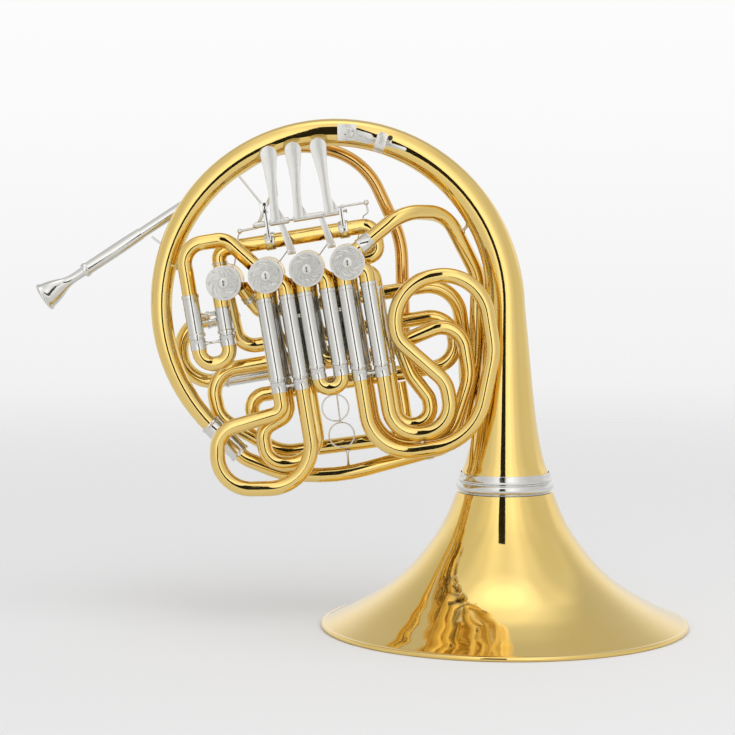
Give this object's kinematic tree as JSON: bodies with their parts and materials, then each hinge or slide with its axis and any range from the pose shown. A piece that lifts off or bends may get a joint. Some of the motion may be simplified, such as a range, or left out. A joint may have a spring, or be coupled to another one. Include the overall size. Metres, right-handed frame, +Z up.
{
  "type": "french horn",
  "caption": "Double french horn with rotary valves, finger levers, pull-out slides, a removable mouthpiece and a screw bell, standing on its bell rim.",
  "frame": {"origin": "centre of the bell rim's rest land on the table plane", "axes": "+Z up along the bell's axis, -Y toward the valve caps (the side a viewer sees), +X away from the mouthpiece"},
  "size_m": [0.5519, 0.311, 0.4274],
  "materials": {
    "lacquered_brass": "yellow brass under clear lacquer, polished",
    "nickel_silver": "nickel silver, polished, slightly warm",
    "rotor_bronze": "machined bronze",
    "bumper_cork": "matte synthetic cork",
    "cord": "braided cord, waxed"
  },
  "bodies": {
    "horn": {"bell_ring_upper": "nickel_silver", "bell_tail": "lacquered_brass", "main_branch": "lacquered_brass", "branch_ferrule": "nickel_silver", "bottom_branch": "lacquered_brass", "receiver": "nickel_silver", "leadpipe": "nickel_silver", "leadpipe_brace": "nickel_silver", "casing_1": "nickel_silver", "casing_2": "nickel_silver", "casing_3": "nickel_silver", "casing_4": "nickel_silver", "cap_1": "nickel_silver", "cap_2": "nickel_silver", "cap_3": "nickel_silver", "cap_4": "nickel_silver", "rear_plates": "nickel_silver", "bumpers": "bumper_cork", "sleeves_1": "nickel_silver", "sleeves_2": "nickel_silver", "sleeves_3": "nickel_silver", "sleeves_main": "nickel_silver", "sleeves_f": "nickel_silver", "inlet_bend": "lacquered_brass", "crossover": "lacquered_brass", "hairpin": "lacquered_brass", "return_bend": "lacquered_brass", "lower_circuit": "lacquered_brass", "lever_axle": "nickel_silver", "key_bridge": "nickel_silver", "linkage_strings": "cord", "joint_ferrules": "nickel_silver", "braces": "nickel_silver", "hook_base": "nickel_silver", "hook_screw": "nickel_silver"},
    "bell": {"bell_flare": "lacquered_brass", "bell_ring_lower": "nickel_silver"},
    "mouthpiece": {"mouthpiece": "nickel_silver"},
    "slide_f1": {"slide_f1": "lacquered_brass"},
    "slide_f2": {"slide_f2": "lacquered_brass"},
    "slide_f3": {"slide_f3": "lacquered_brass"},
    "slide_b1": {"slide_b1": "lacquered_brass"},
    "slide_b2": {"slide_b2": "lacquered_brass"},
    "slide_b3": {"slide_b3": "lacquered_brass"},
    "slide_main": {"slide_main": "lacquered_brass"},
    "slide_tuning_f": {"slide_tuning_f": "lacquered_brass"},
    "rotor_1": {"rotor_1": "rotor_bronze"},
    "rotor_2": {"rotor_2": "rotor_bronze"},
    "rotor_3": {"rotor_3": "rotor_bronze"},
    "rotor_4": {"rotor_4": "rotor_bronze"},
    "lever_1": {"lever_1": "nickel_silver"},
    "lever_2": {"lever_2": "nickel_silver"},
    "lever_3": {"lever_3": "nickel_silver"},
    "lever_thumb": {"lever_thumb": "nickel_silver"},
    "finger_hook": {"finger_hook": "nickel_silver"}
  },
  "joints": [
    {"name": "bell_screw", "type": "hinge", "parent": "horn", "child": "bell", "pos_m": [0, 0, 0.12], "axis": [0, 0, 1], "range_deg": [0, 1440]},
    {"name": "mouthpiece_pull", "type": "slide", "parent": "horn", "child": "mouthpiece", "axis": [-0.8358, 0, -0.549], "range_m": [0, 0.03]},
    {"name": "slide_f1_pull", "type": "slide", "parent": "horn", "child": "slide_f1", "axis": [0.1616, 0, -0.9869], "range_m": [0, 0.055]},
    {"name": "slide_f2_pull", "type": "slide", "parent": "horn", "child": "slide_f2", "axis": [0.1616, 0, -0.9869], "range_m": [0, 0.05]},
    {"name": "slide_f3_pull", "type": "slide", "parent": "horn", "child": "slide_f3", "axis": [0.1616, 0, -0.9869], "range_m": [0, 0.018]},
    {"name": "slide_b1_pull", "type": "slide", "parent": "horn", "child": "slide_b1", "axis": [0.1616, 0, -0.9869], "range_m": [0, 0.03]},
    {"name": "slide_b2_pull", "type": "slide", "parent": "horn", "child": "slide_b2", "axis": [0.1616, 0, -0.9869], "range_m": [0, 0.025]},
    {"name": "slide_b3_pull", "type": "slide", "parent": "horn", "child": "slide_b3", "axis": [0.1616, 0, -0.9869], "range_m": [0, 0.012]},
    {"name": "slide_main_pull", "type": "slide", "parent": "horn", "child": "slide_main", "axis": [0.1616, 0, -0.9869], "range_m": [0, 0.014]},
    {"name": "slide_tuning_f_pull", "type": "slide", "parent": "horn", "child": "slide_tuning_f", "axis": [-0.9869, 0, -0.1616], "range_m": [0, 0.01]},
    {"name": "lever_1_press", "type": "hinge", "parent": "horn", "child": "lever_1", "pos_m": [-0.17279, -0.022, 0.34445], "axis": [-0.9869, 0, -0.1616], "range_deg": [0, 9], "stiffness_Nm_per_rad": 0.25, "springref_deg": -14.32},
    {"name": "lever_2_press", "type": "hinge", "parent": "horn", "child": "lever_2", "pos_m": [-0.17279, -0.022, 0.34445], "axis": [-0.9869, 0, -0.1616], "range_deg": [0, 9], "stiffness_Nm_per_rad": 0.25, "springref_deg": -14.32},
    {"name": "lever_3_press", "type": "hinge", "parent": "horn", "child": "lever_3", "pos_m": [-0.17279, -0.022, 0.34445], "axis": [-0.9869, 0, -0.1616], "range_deg": [0, 9], "stiffness_Nm_per_rad": 0.25, "springref_deg": -14.32},
    {"name": "lever_thumb_press", "type": "hinge", "parent": "horn", "child": "lever_thumb", "pos_m": [-0.17279, -0.022, 0.34445], "axis": [0.9869, 0, 0.1616], "range_deg": [0, 9], "stiffness_Nm_per_rad": 0.25, "springref_deg": -14.32},
    {"name": "rotor_1_turn", "type": "hinge", "parent": "horn", "child": "rotor_1", "pos_m": [-0.19955, 0, 0.29751], "axis": [0, 1, 0], "range_deg": [0, 90]},
    {"name": "rotor_2_turn", "type": "hinge", "parent": "horn", "child": "rotor_2", "pos_m": [-0.166, 0, 0.303], "axis": [0, 1, 0], "range_deg": [0, 90]},
    {"name": "rotor_3_turn", "type": "hinge", "parent": "horn", "child": "rotor_3", "pos_m": [-0.13245, 0, 0.3085], "axis": [0, 1, 0], "range_deg": [0, 90]},
    {"name": "rotor_4_turn", "type": "hinge", "parent": "horn", "child": "rotor_4", "pos_m": [-0.23409, 0, 0.29185], "axis": [0, 1, 0], "range_deg": [0, 90]},
    {"name": "hook_swing", "type": "hinge", "parent": "horn", "child": "finger_hook", "pos_m": [-0.1314, -0.016, 0.4149], "axis": [0, 1, 0], "range_deg": [-12, 12]}
  ],
  "couplings": [
    {"joint": "rotor_1_turn", "follows": "lever_1_press", "ratio": 10},
    {"joint": "rotor_2_turn", "follows": "lever_2_press", "ratio": 10},
    {"joint": "rotor_3_turn", "follows": "lever_3_press", "ratio": 10},
    {"joint": "rotor_4_turn", "follows": "lever_thumb_press", "ratio": 10}
  ]
}
